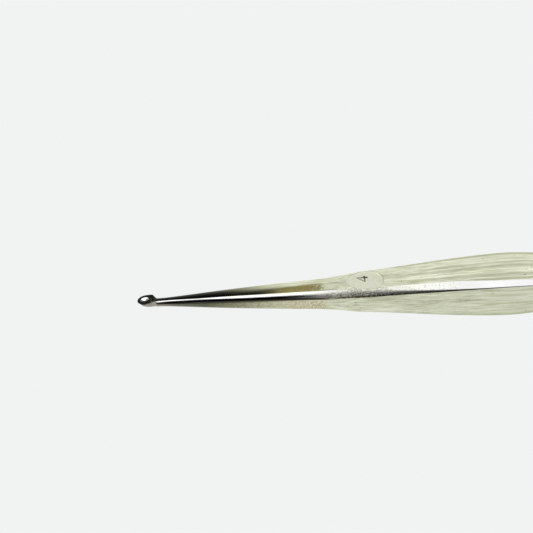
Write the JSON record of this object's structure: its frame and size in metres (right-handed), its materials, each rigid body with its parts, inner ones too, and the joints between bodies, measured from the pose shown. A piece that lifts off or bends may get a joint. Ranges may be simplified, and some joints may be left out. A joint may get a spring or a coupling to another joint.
{
  "type": "bone curette",
  "caption": "Slim steel hand tool: hollow fluted spindle handle with polished ridges and oval thumb plates, long tapering shank and a small oval spoon tip.",
  "frame": {"origin": "middle of the whole tool, on the handle's own axis", "axes": "+X runs along the tool from the spoon to the tail, +Z is out of the thumb face and the spoon's mouth, +Y completes a right-handed frame"},
  "size_m": [0.14, 0.0094, 0.0094],
  "materials": {
    "forged_steel": "polished, heat tinted towards the handle",
    "shell_steel": "matt satin, pale warm grey",
    "seam_braze": "ground flush and polished",
    "neck_braze": "brown heat tint",
    "inner_steel": "plain machined",
    "plug_steel": "matt satin, pale warm grey"
  },
  "bodies": {
    "root": {"spoon_shank": "forged_steel", "thumb_shell": "shell_steel", "palm_shell": "shell_steel", "near_seam_braze": "seam_braze", "far_seam_braze": "seam_braze", "neck_braze": "neck_braze", "tang_spacer": "inner_steel", "tail_plug": "plug_steel"}
  },
  "joints": []
}
